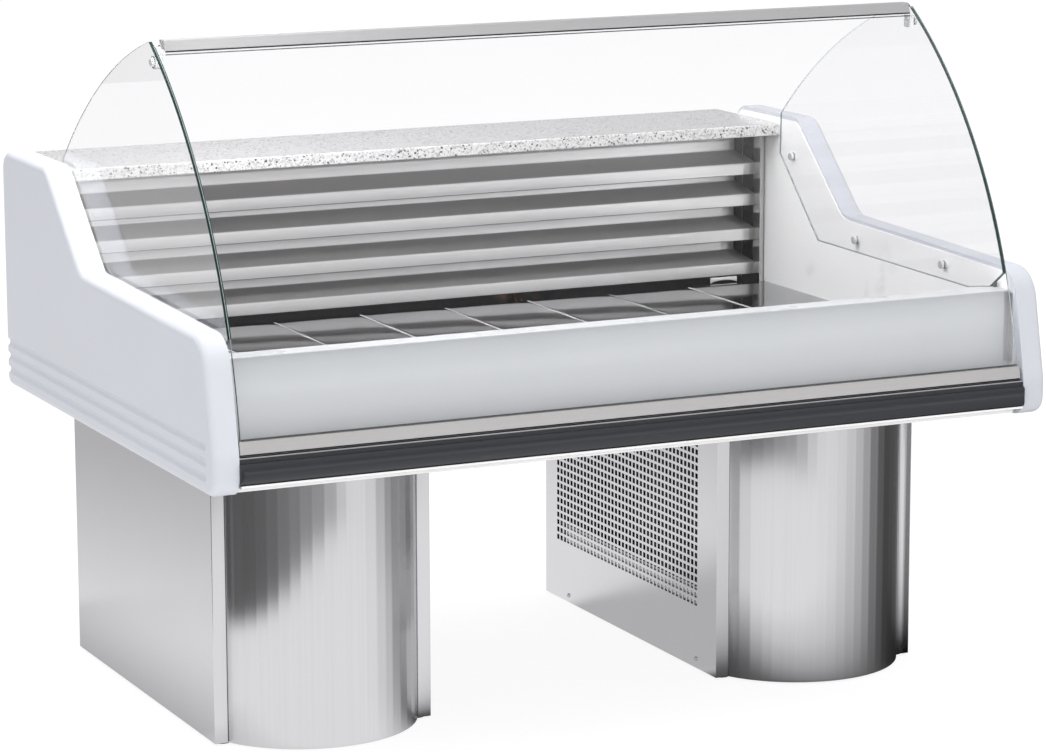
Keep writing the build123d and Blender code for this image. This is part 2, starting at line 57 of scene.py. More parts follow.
class Mat:
    """A node material around one Principled shader."""

    def __init__(self, name, **values):
        self.m = bpy.data.materials.new(name)
        self.m.use_nodes = True
        self.t = self.m.node_tree
        self.t.nodes.clear()
        self.out = self.t.nodes.new("ShaderNodeOutputMaterial")
        self.p = self.t.nodes.new("ShaderNodeBsdfPrincipled")
        self.t.links.new(self.p.outputs[0], self.out.inputs[0])
        self.tex = None
        for k, v in values.items():
            self.p.inputs[SOCKETS[k]].default_value = (*v, 1.0) if isinstance(v, tuple) and len(v) == 3 else v

    def node(self, kind, **props):
        n = self.t.nodes.new(kind)
        for k, v in props.items():
            setattr(n, k, v)
        return n

    def feed(self, socket, value):
        if isinstance(value, bpy.types.NodeSocket):
            self.t.links.new(value, socket)
        elif isinstance(value, tuple) and len(value) == 3 and len(socket.default_value) == 4:
            socket.default_value = (*value, 1.0)
        else:
            socket.default_value = value

    def to(self, name, value):
        self.feed(self.p.inputs[SOCKETS.get(name, name)], value)

    def coord(self, scale=(1, 1, 1), shift=(0, 0, 0), turn=(0, 0, 0)):
        if self.tex is None:
            self.tex = self.node("ShaderNodeTexCoord")
        n = self.node("ShaderNodeMapping")
        self.feed(n.inputs["Vector"], self.tex.outputs["Object"])
        n.inputs["Location"].default_value = shift
        n.inputs["Rotation"].default_value = turn
        n.inputs["Scale"].default_value = scale
        return n.outputs[0]

    def normal_of_object(self):
        if self.tex is None:
            self.tex = self.node("ShaderNodeTexCoord")
        n = self.node("ShaderNodeSeparateXYZ")
        self.feed(n.inputs[0], self.tex.outputs["Normal"])
        return n.outputs

    def noise(self, vec, scale=1.0, detail=2.0, rough=0.5, warp=0.0, colour=False):
        n = self.node("ShaderNodeTexNoise")
        self.feed(n.inputs["Vector"], vec)
        n.inputs["Scale"].default_value = scale
        n.inputs["Detail"].default_value = detail
        n.inputs["Roughness"].default_value = rough
        n.inputs["Distortion"].default_value = warp
        return n.outputs[1 if colour else 0]

    def cells(self, vec, scale, feature="F1", rand=1.0, out="Color"):
        n = self.node("ShaderNodeTexVoronoi", feature=feature)
        self.feed(n.inputs["Vector"], vec)
        n.inputs["Scale"].default_value = scale
        n.inputs["Randomness"].default_value = rand
        return n.outputs[out]

    def ramp(self, fac, stops, interp="LINEAR"):
        n = self.node("ShaderNodeValToRGB")
        n.color_ramp.interpolation = interp
        e = n.color_ramp.elements
        while len(e) < len(stops):
            e.new(0.5)
        for i, (pos, c) in enumerate(stops):
            e[i].position = pos
            e[i].color = (*c, 1.0) if isinstance(c, tuple) else (c, c, c, 1.0)
        self.feed(n.inputs[0], fac)
        return n.outputs[0]

    def span(self, v, a, b, c, d):
        n = self.node("ShaderNodeMapRange")
        self.feed(n.inputs[0], v)
        for i, x in enumerate((a, b, c, d)):
            n.inputs[1 + i].default_value = x
        return n.outputs[0]

    def math(self, op, a, b=0.0, c=None):
        n = self.node("ShaderNodeMath", operation=op)
        self.feed(n.inputs[0], a)
        self.feed(n.inputs[1], b)
        if c is not None:
            self.feed(n.inputs[2], c)
        return n.outputs[0]

    def mix(self, fac, a, b, blend="MIX"):
        n = self.node("ShaderNodeMix", data_type="RGBA", blend_type=blend)
        self.feed(n.inputs[0], fac)
        self.feed(n.inputs[6], a)
        self.feed(n.inputs[7], b)
        return n.outputs[2]

    def add_vec(self, a, b, k):
        n = self.node("ShaderNodeVectorMath", operation="MULTIPLY_ADD")
        self.feed(n.inputs[0], b)
        n.inputs[1].default_value = (k, k, k)
        self.feed(n.inputs[2], a)
        return n.outputs[0]

    def channel(self, colour, i=0):
        n = self.node("ShaderNodeSeparateColor")
        self.feed(n.inputs[0], colour)
        return n.outputs[i]

    def bump(self, height, strength, distance, under=None):
        n = self.node("ShaderNodeBump")
        n.inputs["Strength"].default_value = strength
        n.inputs["Distance"].default_value = distance
        self.feed(n.inputs["Height"], height)
        if under is not None:
            self.feed(n.inputs["Normal"], under)
        return n.outputs[0]

    def edges(self, radius):
        """About 1 along a sharp edge and 0 on a flat face."""
        b = self.node("ShaderNodeBevel", samples=4)
        b.inputs["Radius"].default_value = radius
        g = self.node("ShaderNodeNewGeometry")
        d = self.node("ShaderNodeVectorMath", operation="DOT_PRODUCT")
        self.feed(d.inputs[0], b.outputs[0])
        self.feed(d.inputs[1], g.outputs["Normal"])
        return self.span(d.outputs["Value"], 1.0, 0.86, 0.0, 1.0)


def lin(hexa):
    """Linear colour of an sRGB hex value."""
    out = []
    for i in (0, 2, 4):
        v = int(hexa[i:i + 2], 16) / 255
        out.append(v / 12.92 if v <= 0.04045 else ((v + 0.055) / 1.055) ** 2.4)
    return tuple(out)


def shade(c, k):
    return tuple(min(1.0, v * k) for v in c)


# ================================================================== materials
def steel(name, base, rough, axis, fine=900.0, along=5.0, contrast=0.05, rvar=0.03, grain=0.03, aniso=0.0,
          smudge=0.03, wave=0.0, wave_scale=(4, 4, 4), edge=0.0012, metal=1.0, edge_wear_and_glint=(0.35, 1.25), up=None, rim_wear_and_glint=None):
    """Sheet steel with brush lines along one axis, wipe marks and a little waviness."""
    m = Mat(name, metallic=metal, aniso=aniso)
    s = [fine] * 3
    s[axis] = along
    line = m.noise(m.coord(tuple(s)), 1.0, 3.0, 0.65)
    s = [fine * 0.22] * 3
    s[axis] = along * 0.18
    streak = m.noise(m.coord(tuple(s), (3.1, 1.7, 0.4)), 1.0, 2.0, 0.55)
    cloud = m.noise(m.coord((1, 1, 1), (0.3, 7.7, 2.2)), 3.0, 4.0, 0.55)
    both = m.math("MULTIPLY_ADD", line, 0.62, m.math("MULTIPLY", streak, 0.38))
    tone = m.mix(m.span(both, 0.25, 0.75, 0.0, 1.0), shade(base, 1 - contrast), shade(base, 1 + contrast))
    tone = m.mix(m.span(cloud, 0.4, 0.75, 0.0, smudge * 2.0), tone, shade(base, 0.86))
    # edges paler: rubbed wear, and at strong settings a painted highlight along the edges
    if edge:
        tone = m.mix(m.math("MULTIPLY", m.edges(edge), edge_wear_and_glint[0]), tone, shade(base, edge_wear_and_glint[1]))
    # rounded rims paler and less metallic: partly wear, partly a painted highlight along the seams
    if rim_wear_and_glint is not None:
        fold = m.span(m.normal_of_object()[2], 0.97, 0.86, 0.0, 1.0)
        m.to("metallic", m.span(fold, 0.0, 1.0, metal, rim_wear_and_glint))
        tone = m.mix(fold, tone, shade(base, edge_wear_and_glint[1]))
    # painted shade: faces turned up take the darker up colour, and faces turned down a much darker copy of it
    if up:
        upward_shade_mask = m.span(m.normal_of_object()[2], 0.45, 0.75, 0.0, 1.0)
        tone = m.mix(m.math("MULTIPLY", upward_shade_mask, m.span(streak, 0.3, 0.7, 0.88, 1.0)), tone, up)
        tone = m.mix(m.span(m.normal_of_object()[2], -0.15, -0.50, 0.0, 1.0), tone, shade(up, 0.16))
    m.to("color", tone)
    r = m.math("MULTIPLY_ADD", m.math("SUBTRACT", both, 0.5), rvar * 2, m.span(cloud, 0.3, 0.8, rough, rough + smudge))
    m.to("rough", r)
    n = None
    if wave:
        n = m.bump(m.noise(m.coord(wave_scale, (9.1, 4.4, 0.9)), 1.0, 1.0, 0.4), wave, 0.004)
    m.to("Normal", m.bump(both, grain, 0.0003, n))
    if aniso:
        g = m.node("ShaderNodeNewGeometry")
        x = m.node("ShaderNodeVectorMath", operation="CROSS_PRODUCT")
        m.feed(x.inputs[0], g.outputs["Normal"])
        x.inputs[1].default_value = tuple(1.0 if i == axis else 0.02 * (i + 1) for i in range(3))
        m.feed(m.p.inputs["Tangent"], x.outputs[0])
    return m.m


def moulding(name, base, rough=0.38, peel=0.10, mottle=0.015, edge=0.30, recess_shade=0.0, top=None, low=None):
    """Moulded or painted surface: faint orange peel, uneven gloss, edges rubbed a little paler."""
    m = Mat(name, spec=0.45)
    fine = m.noise(m.coord(), 520.0, 3.0, 0.55)
    large = m.noise(m.coord((1, 1, 1), (2.0, 5.0, 1.0)), 7.0, 4.0, 0.55)
    tone = m.mix(m.span(large, 0.3, 0.7, 0.0, 1.0), shade(base, 1 - mottle), shade(base, 1 + mottle))
    tone = m.mix(m.span(fine, 0.62, 0.80, 0.0, 0.06), tone, shade(base, 0.80))
    if edge:
        tone = m.mix(m.math("MULTIPLY", m.edges(0.003), edge), tone, shade(base, 1.10))
    # painted shade: darker where ambient occlusion finds other surfaces close by, in recesses and next to other parts
    if recess_shade:
        ao = m.node("ShaderNodeAmbientOcclusion", samples=4)
        ao.inputs["Distance"].default_value = 0.02
        tone = m.mix(m.span(ao.outputs["AO"], 0.75, 0.35, 0.0, recess_shade), tone, shade(base, 0.72))
    # painted light: faces turned up take the paler top colour
    if top:
        tone = m.mix(m.span(m.normal_of_object()[2], 0.55, 0.85, 0.0, 1.0), tone, top)
    # painted shade: darker below the height low[0] and darker towards +X
    if low:
        at = m.node("ShaderNodeSeparateXYZ")
        m.feed(at.inputs[0], m.tex.outputs["Object"])
        tone = m.mix(m.span(at.outputs[2], low[0] + 0.003, low[0] - 0.003, 0.0, low[1]), tone, shade(base, 0.80))
        tone = m.mix(m.span(at.outputs[0], -0.75, 0.75, 0.0, low[2]), tone, shade(base, 0.80))
    m.to("color", tone)
    m.to("rough", m.math("MULTIPLY_ADD", m.math("SUBTRACT", fine, 0.5), 0.08, m.span(large, 0.3, 0.7, rough - 0.05, rough + 0.06)))
    m.to("Normal", m.bump(fine, peel, 0.0006))
    return m.m


def glass(name, edges_face_x, dark, light, clear, ior=1.5, arris_highlight=None, right_end_reflection_tint=None, low=None):
    """Clear float glass; the ground edges are green."""
    m = Mat(name, ior=ior)
    nx = m.math("ABSOLUTE", m.normal_of_object()[0])
    on_edge = m.span(nx, 0.55, 0.75, 0.0, 1.0) if edges_face_x else m.span(nx, 0.75, 0.55, 0.0, 1.0)
    haze = m.noise(m.coord((1, 1, 1), (0.7, 0.2, 3.3)), 9.0, 5.0, 0.65)
    ripple = m.noise(m.coord((40, 40, 40)), 1.0, 3.0, 0.6)
    face = m.mix(m.span(haze, 0.35, 0.8, 0.0, 1.0), (0.978, 0.976, 0.986), (0.966, 0.968, 0.976))
    tint, through = m.mix(ripple, dark, light), clear
    # painted highlight: a pale, less clear band along the outer arris of the left end; painted reflection: a paler tint
    # on the right end
    if arris_highlight:
        at = m.node("ShaderNodeSeparateXYZ")
        m.feed(at.inputs[0], m.tex.outputs["Object"])
        dy, dz = m.math("SUBTRACT", at.outputs[1], 0.3254), m.math("SUBTRACT", at.outputs[2], 0.463)
        rho = m.math("SQRT", m.math("ADD", m.math("MULTIPLY", dy, dy), m.math("MULTIPLY", dz, dz)))
        right = m.span(at.outputs[0], -0.1, 0.1, 0.0, 1.0)
        ground = m.math("MULTIPLY", m.span(rho, 0.9007, 0.9013, 0.0, 1.0), m.span(right, 0.0, 1.0, 1.0, 0.0))
        tint = m.mix(right, m.mix(ground, tint, arris_highlight), m.mix(ripple, shade(right_end_reflection_tint, 0.85), shade(right_end_reflection_tint, 1.15)))
        through = m.span(ground, 0.0, 1.0, clear, 0.25)
    if low:
        at = m.node("ShaderNodeSeparateXYZ")
        m.feed(at.inputs[0], m.tex.outputs["Object"])
        deep = m.span(at.outputs[2], low[0], low[1], 0.0, 1.0)
        on_edge = m.math("MAXIMUM", on_edge, m.math("MULTIPLY", m.edges(0.004), deep))
    m.to("color", m.mix(on_edge, face, tint))
    m.to("rough", m.math("MULTIPLY_ADD", on_edge, 0.25, m.span(haze, 0.55, 0.9, 0.0, 0.010)))
    m.to("trans", m.math("SUBTRACT", 1.0, m.math("MULTIPLY", on_edge, m.math("SUBTRACT", 1.0, through))))
    return m.m


def granite(name):
    """Light granite: white and grey grains with separate black specks; the stone is polished, and faces turned up are
    painted darker and greyer as shade.
    """
    m = Mat(name, spec=0.5, coat=0.35, coat_rough=0.06)
    p = m.coord()
    w = m.add_vec(p, m.noise(p, 520.0, 2.0, 0.5, colour=True), 0.0007)
    grain = m.channel(m.cells(w, 310.0), 0)
    shift = m.add_vec(m.coord((1, 1, 1), (1.3, 0.4, 2.2)), m.noise(p, 600.0, 2.0, 0.5, colour=True), 0.0009)
    coarse = m.math("MULTIPLY", m.ramp(m.channel(m.cells(shift, 165.0), 1), [(0.0, 1.0), (0.27, 0.0), (1.0, 0.0)], "CONSTANT"),
                    m.span(m.cells(shift, 165.0, out="Distance"), 0.49, 0.42, 0.0, 1.0))
    tiny = m.coord((1, 1, 1), (0.2, 3.4, 5.2))
    small = m.math("MULTIPLY", m.ramp(m.channel(m.cells(tiny, 380.0), 2), [(0.0, 1.0), (0.18, 0.0), (1.0, 0.0)], "CONSTANT"),
                   m.span(m.cells(tiny, 380.0, out="Distance"), 0.55, 0.38, 0.0, 0.80))
    cloud = m.noise(p, 26.0, 3.0, 0.6)
    tone = m.ramp(grain, [(0.0, (0.40, 0.396, 0.392)), (0.08, (0.54, 0.536, 0.53)), (0.22, (0.65, 0.645, 0.638)),
                          (0.50, (0.73, 0.725, 0.718)), (1.0, (0.79, 0.785, 0.777))], "CONSTANT")
    tone = m.mix(small, tone, (0.10, 0.10, 0.105))
    tone = m.mix(coarse, tone, (0.012, 0.012, 0.014))
    tone = m.mix(m.span(cloud, 0.3, 0.75, 0.0, 0.12), tone, (0.66, 0.65, 0.64))
    # painted shade: faces turned up are mixed towards a dark grey
    up = m.span(m.normal_of_object()[2], 0.7, 0.95, 0.0, 1.0)
    tone = m.mix(m.math("MULTIPLY", up, 0.55), tone, (0.24, 0.235, 0.243))
    m.to("color", tone)
    m.to("rough", m.math("MULTIPLY_ADD", coarse, -0.06, m.span(grain, 0.0, 1.0, 0.17, 0.24)))
    m.to("Normal", m.bump(grain, 0.02, 0.0003))
    return m.m


def rubber(name, base=(0.012, 0.012, 0.013), rough=0.55):
    m = Mat(name, spec=0.35)
    fine = m.noise(m.coord((30, 700, 700)), 1.0, 3.0, 0.6)
    dust = m.noise(m.coord(), 60.0, 5.0, 0.7)
    m.to("color", m.mix(m.span(dust, 0.5, 0.9, 0.0, 0.5), base, shade(base, 2.6)))
    m.to("rough", m.span(fine, 0.2, 0.8, rough - 0.08, rough + 0.1))
    m.to("Normal", m.bump(fine, 0.2, 0.0004))
    return m.m


def extrusion(name, base, rough, metallic=0.0, lines=0.12, spec=0.5):
    """Extruded bar: fine die lines along its length, scuffed here and there."""
    m = Mat(name, metallic=metallic, spec=spec)
    die = m.noise(m.coord((2.5, 650, 650)), 1.0, 3.0, 0.6)
    scuff = m.noise(m.coord((14, 70, 70), (4.0, 0.0, 1.0)), 1.0, 5.0, 0.7)
    tone = m.mix(m.span(die, 0.25, 0.75, 0.0, 1.0), shade(base, 0.90), shade(base, 1.12))
    tone = m.mix(m.span(scuff, 0.62, 0.85, 0.0, 0.25), tone, tuple(0.7 * v + 0.12 for v in base))
    tone = m.mix(m.math("MULTIPLY", m.edges(0.0015), 0.3), tone, tuple(0.8 * v + 0.10 for v in base))
    m.to("color", tone)
    m.to("rough", m.math("MULTIPLY_ADD", m.math("SUBTRACT", die, 0.5), 0.14, m.span(scuff, 0.4, 0.9, rough, rough + 0.10)))
    m.to("Normal", m.bump(die, lines, 0.0004))
    return m.m


def copper(name):
    m = Mat(name, metallic=1.0)
    a = m.noise(m.coord(), 38.0, 5.0, 0.65, 0.4)
    b = m.noise(m.coord((300, 300, 300)), 1.0, 2.0, 0.5)
    m.to("color", m.ramp(a, [(0.2, (0.78, 0.36, 0.20)), (0.5, (0.62, 0.27, 0.15)), (0.72, (0.33, 0.16, 0.10)), (0.9, (0.20, 0.13, 0.10))]))
    m.to("rough", m.math("MULTIPLY_ADD", b, 0.1, m.span(a, 0.3, 0.8, 0.20, 0.45)))
    m.to("Normal", m.bump(b, 0.06, 0.0005))
    return m.m


def foam(name, dark, light, scale):
    m = Mat(name, spec=0.2)
    c = m.cells(m.coord(), scale, out="Distance")
    n = m.noise(m.coord(), 14.0, 4.0, 0.6)
    m.to("color", m.mix(n, dark, light))
    m.to("rough", m.span(n, 0.3, 0.7, 0.75, 0.92))
    m.to("Normal", m.bump(c, 0.5, 0.001))
    return m.m


def glowing(name, base, colour, strength):
    m = Mat(name, glow=colour, glow_strength=strength, spec=0.4)
    n = m.noise(m.coord(), 1500.0, 2.0, 0.5)
    m.to("color", m.mix(n, shade(base, 0.8), shade(base, 1.2)))
    m.to("rough", m.span(n, 0.2, 0.8, 0.25, 0.4))
    return m.m


# the last value for the walls and liners is the strength of painted shade in recesses
WALL = moulding("wall_plastic", (0.587, 0.606, 0.650), 0.36, 0.07, 0.012, 0.20, 0.20)
# painted shade: the right end wall is a darker copy of the same plastic
WALL_RIGHT_SHADED = moulding("right_wall_plastic_shaded", (0.535, 0.553, 0.596), 0.36, 0.07, 0.012, 0.20, 0.20)
LINER = moulding("liner_plastic", (0.90, 0.90, 0.90), 0.30, 0.04, 0.01, 0.15, 0.15)
# the sill's top colour is painted light on its upper face
SILL = moulding("sill_plastic", (0.455, 0.472, 0.484), 0.30, 0.05, 0.012, 0.25, top=(0.54, 0.55, 0.56))
# the panel's low setting is painted shade on its lower band and towards its right end
PANEL = moulding("panel_paint", (0.482, 0.500, 0.512), 0.34, 0.05, 0.015, 0.25, low=(0.660, 0.20, 0.22))
WHITE = moulding("clip_plastic", (0.86, 0.86, 0.85), 0.33, 0.05, 0.02, 0.3)
# the front glass's pale left-edge band is a painted highlight and its paler right-end tint a painted reflection
GLASS_FRONT = glass("front_glass_clear", True, (0.04, 0.10, 0.094), (0.13, 0.25, 0.235), 0.85, arris_highlight=(0.62, 0.78, 0.76),
                    right_end_reflection_tint=(0.30, 0.43, 0.435))
GLASS_SIDE = glass("side_glass_clear", False, (0.010, 0.036, 0.034), (0.026, 0.078, 0.072), 0.70)
GLASS_SIDE_R = glass("side_glass_right_clear", False, (0.022, 0.060, 0.058), (0.055, 0.125, 0.118), 0.70, 1.25, low=(0.945, 0.865))
GRANITE = granite("light_granite")
PED = steel("pedestal_steel", (0.675, 0.67, 0.68), 0.165, 2, 1000, 2.5, 0.04, 0.02, 0.02, 1.0, 0.02, 0.012, (5, 5, 0.8))
CASING = steel("casing_steel", (0.685, 0.68, 0.695), 0.19, 2, 1100, 3.0, 0.022, 0.02, 0.015, 0.95, 0.02, 0.010, (3, 3, 1.5))
REAR = steel("rear_steel", (0.66, 0.655, 0.66), 0.24, 0, 1000, 4.0, 0.035, 0.03, 0.03, 0.6, 0.05, 0.02, (2, 3, 3))
# the up colour is painted shade on the blades, and their undersides take a much darker painted shade
LOUVRE = steel("louvre_steel", (0.96, 0.948, 0.932), 0.29, 0, 900, 3.0, 0.09, 0.05, 0.05, 0.92, 0.02, 0.01, (3, 6, 6), metal=0.72,
               up=(0.61, 0.597, 0.583))
POST = steel("post_steel", (0.62, 0.615, 0.61), 0.10, 2, 1000, 4.0, 0.04, 0.03, 0.02, 0.4, 0.02, 0.01, (5, 5, 2))
# the deck's pale edges and rims are partly wear and partly a painted highlight along the seams between plates
DECK = steel("deck_steel", (0.285, 0.285, 0.29), 0.065, 1, 1200, 5.0, 0.02, 0.015, 0.01, 0.5, 0.015, 0.02, (6, 3, 6), 0.0025,
             edge_wear_and_glint=(0.85, 2.7), rim_wear_and_glint=0.30)
PROFILE = steel("profile_steel", (0.67, 0.66, 0.65), 0.40, 0, 900, 3.0, 0.06, 0.05, 0.05, 0.90, 0.03)
TUB = steel("tub_steel", (0.42, 0.42, 0.42), 0.20, 0, 900, 5.0, 0.04, 0.04, 0.03, 0.5, 0.05, 0.03)
PINS = steel("screw_steel", (0.62, 0.62, 0.62), 0.28, 2, 1500, 60.0, 0.06, 0.06, 0.05)
CHROME = steel("stud_chrome", (0.90, 0.905, 0.91), 0.24, 1, 1800, 90.0, 0.03, 0.03, 0.02, edge=0.0, metal=0.70)
ALU = extrusion("carrier_aluminium", (0.48, 0.48, 0.49), 0.30, 1.0, 0.08)
FIN = extrusion("fin_aluminium", (0.40, 0.41, 0.42), 0.38, 1.0, 0.15)
BUMPER = extrusion("bumper_plastic", (0.020, 0.022, 0.026), 0.36, 0.0, 0.10, 0.45)
RUBBER = rubber("seal_rubber")
GREY_RUBBER = rubber("grey_rubber", (0.085, 0.090, 0.092), 0.5)
FOOT = rubber("foot_plastic", (0.02, 0.02, 0.021), 0.5)
GLAND = rubber("gland_plastic", (0.018, 0.018, 0.019), 0.42)
COPPER = copper("drawn_copper")
FOAM = foam("rigid_foam", (0.78, 0.66, 0.38), (0.88, 0.78, 0.52), 420.0)
FRAME_PAINT = moulding("frame_paint", (0.055, 0.055, 0.06), 0.45, 0.2, 0.06, 0.3)
BLACK_PAINT = moulding("coil_paint", (0.022, 0.022, 0.025), 0.35, 0.2, 0.08, 0.3)
GLOSS_BLACK = moulding("compressor_paint", (0.012, 0.012, 0.014), 0.20, 0.08, 0.08, 0.4)
MOTOR = moulding("motor_paint", (0.17, 0.18, 0.19), 0.42, 0.2, 0.05, 0.3)
DRAIN = moulding("drain_plastic", (0.30, 0.31, 0.32), 0.45, 0.1, 0.03, 0.2)
BAR = steel("bar_steel", (0.62, 0.615, 0.62), 0.42, 0, 900, 3.0, 0.05, 0.05, 0.05, 0.85, 0.03, metal=0.85)
CONTROL = moulding("control_plastic", (0.028, 0.030, 0.033), 0.46, 0.35, 0.05, 0.35)
DISPLAY = moulding("display_window", (0.008, 0.008, 0.011), 0.08, 0.01, 0.10, 0.2)
BUTTON = moulding("button_plastic", (0.50, 0.51, 0.52), 0.40, 0.2, 0.03, 0.35)
ROCKER = moulding("rocker_plastic", (0.035, 0.17, 0.05), 0.25, 0.05, 0.05, 0.35)
MARK = moulding("mark_ink", (0.80, 0.80, 0.78), 0.45, 0.1, 0.03, 0.0)
DARK_MARK = moulding("dark_mark_ink", (0.03, 0.03, 0.033), 0.45, 0.1, 0.03, 0.0)
DIGIT = glowing("digit_glow", (0.30, 0.02, 0.02), (1.0, 0.10, 0.05), 2.2)
ZINC = steel("tray_zinc", (0.74, 0.75, 0.76), 0.35, 1, 500, 12.0, 0.08, 0.08, 0.05, 0.0, 0.06)
FILTER = foam("filter_foam", (0.006, 0.006, 0.007), (0.014, 0.014, 0.015), 260.0)

FINISH = {
    "end_wall_left": WALL, "end_wall_right": WALL_RIGHT_SHADED, "inner_liner_left": LINER, "inner_liner_right": LINER,
    "side_glass_left": GLASS_SIDE, "side_glass_right": GLASS_SIDE_R, "front_glass": GLASS_FRONT,
    "side_glass_studs": CHROME, "glass_corner_clips": CHROME, "glass_top_bar": BAR, "glass_bottom_profile": PROFILE,
    "glass_hinge_pins": PINS, "front_panel": PANEL, "front_sill": SILL, "bumper_carrier": ALU, "bumper": BUMPER,
    "tub": TUB, "tub_insulation": FOAM, "rear_casing": REAR, "granite_worktop": GRANITE,
    "louvre_post_left": POST, "louvre_post_right": POST, "evaporator_fins": FIN, "evaporator_tubes": COPPER,
    "deck_frame": TUB, "deck_end_strip": DECK, "drain_outlet": DRAIN, "pedestal_left_casing": CASING,
    "pedestal_left_front": PED, "pedestal_left_frame": FRAME_PAINT, "pedestal_right_casing": CASING,
    "pedestal_right_grille": CASING, "pedestal_right_front": PED, "pedestal_right_frame": FRAME_PAINT,
    "levelling_feet": FOOT, "compressor": GLOSS_BLACK, "condenser_coil": BLACK_PAINT, "fan_shroud": BLACK_PAINT,
    "fan_motor": MOTOR, "condenser_fan": FIN, "refrigerant_pipes": COPPER, "control_panel": CONTROL,
    "thermostat_display": DISPLAY, "button_up": BUTTON, "button_down": BUTTON, "power_rocker": ROCKER,
    "cable_gland": GLAND, "panel_screws": PINS,
}
for i in range(1, 5):
    FINISH["louvre_slat_%d" % i] = LOUVRE
for i in range(1, 9):
    FINISH["deck_pan_%d" % i] = DECK
for n, o in nodes.items():
    for s in o.material_slots:
        s.material = FINISH[n]

# small folded radius on the sheet metal and mouldings that the drawing leaves sharp
for n, width in (("pedestal_left_casing", 0.0012), ("pedestal_right_casing", 0.0006), ("rear_casing", 0.0006),
                 ("front_panel", 0.0008), ("bumper_carrier", 0.0005), ("louvre_post_left", 0.0006),
                 ("louvre_post_right", 0.0006)):
    o = nodes[n]
    w = o.modifiers.new("weld", "WELD")
    w.merge_threshold = 0.00001
    b = o.modifiers.new("fold", "BEVEL")
    b.width = width
    b.segments = 2
    b.limit_method = "ANGLE"
    b.angle_limit = math.radians(35)
    b.use_clamp_overlap = True
    o.modifiers.new("even", "WEIGHTED_NORMAL").keep_sharp = False
for n in ("front_glass", "side_glass_left", "side_glass_right"):
    nodes[n].visible_shadow = False
    nodes[n].visible_diffuse = False


# ============================================================== mesh helpers
def piece(name, verts, faces, mat, body, smooth=35.0, slot=None, stands_for=()):
    me = bpy.data.meshes.new(name)
    me.from_pydata([tuple(v) for v in verts], [], faces)
    me.validate()
    me.update()
    o = bpy.data.objects.new(name, me)
    scene.collection.objects.link(o)
    me.materials.append(mat)
    if smooth:
        me.polygons.foreach_set("use_smooth", [True] * len(me.polygons))
        me.set_sharp_from_angle(angle=math.radians(smooth))
    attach(o, body)
    if stands_for:
        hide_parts(*stands_for)
    return o


def rounded(o, width, segments=2, angle=30):
    b = o.modifiers.new("round", "BEVEL")
    b.width = width
    b.segments = segments
    b.limit_method = "ANGLE"
    b.angle_limit = math.radians(angle)
    w = o.modifiers.new("even", "WEIGHTED_NORMAL")
    w.keep_sharp = False
    return o


def sheet(o, thickness, offset=-1.0):
    s = o.modifiers.new("sheet", "SOLIDIFY")
    s.thickness = thickness
    s.offset = offset
    s.use_even_offset = True
    return o


def along_x(profile, x0, x1, cuts=1):
    """Closed prism: (y, z) drawing points in mm, counter-clockwise seen from +X, from x0 to x1 in mm."""
    n = len(profile)
    area = sum(profile[i][0] * profile[(i + 1) % n][1] - profile[(i + 1) % n][0] * profile[i][1] for i in range(n))
    if area < 0:
        profile = profile[::-1]
    verts, faces = [], []
    for k in range(cuts + 1):
        x = x0 + (x1 - x0) * k / cuts
        verts += [(x / 1000, y / 1000 - Y_MID, z / 1000) for y, z in profile]
    for k in range(cuts):
        for i in range(n):
            j = (i + 1) % n
            faces.append((k * n + i, k * n + j, (k + 1) * n + j, (k + 1) * n + i)[::-1])
    faces.append(tuple(range(n))[::-1])
    faces.append(tuple(cuts * n + i for i in range(n)))
    return verts, faces


def ring_tube(points, radius, sides=14, closed=False):
    """Round tube of metre points, with flat ends unless closed."""
    verts, faces = [], []
    m = len(points)
    up = Vector((0, 0, 1))
    for i, p in enumerate(points):
        p = Vector(p)
        a = Vector(points[(i - 1) % m] if closed or i > 0 else points[i])
        b = Vector(points[(i + 1) % m] if closed or i < m - 1 else points[i])
        t = (b - a).normalized()
        side = t.cross(up)
        if side.length < 1e-4:
            side = t.cross(Vector((1, 0, 0)))
        side.normalize()
        nrm = side.cross(t).normalized()
        for k in range(sides):
            w = 2 * math.pi * k / sides
            verts.append(p + radius * (math.cos(w) * side + math.sin(w) * nrm))
    for i in range(m if closed else m - 1):
        j = (i + 1) % m
        for k in range(sides):
            q = (k + 1) % sides
            faces.append((i * sides + k, j * sides + k, j * sides + q, i * sides + q))
    if not closed:
        faces.append(tuple(range(sides)))
        faces.append(tuple((m - 1) * sides + k for k in range(sides))[::-1])
    return verts, faces


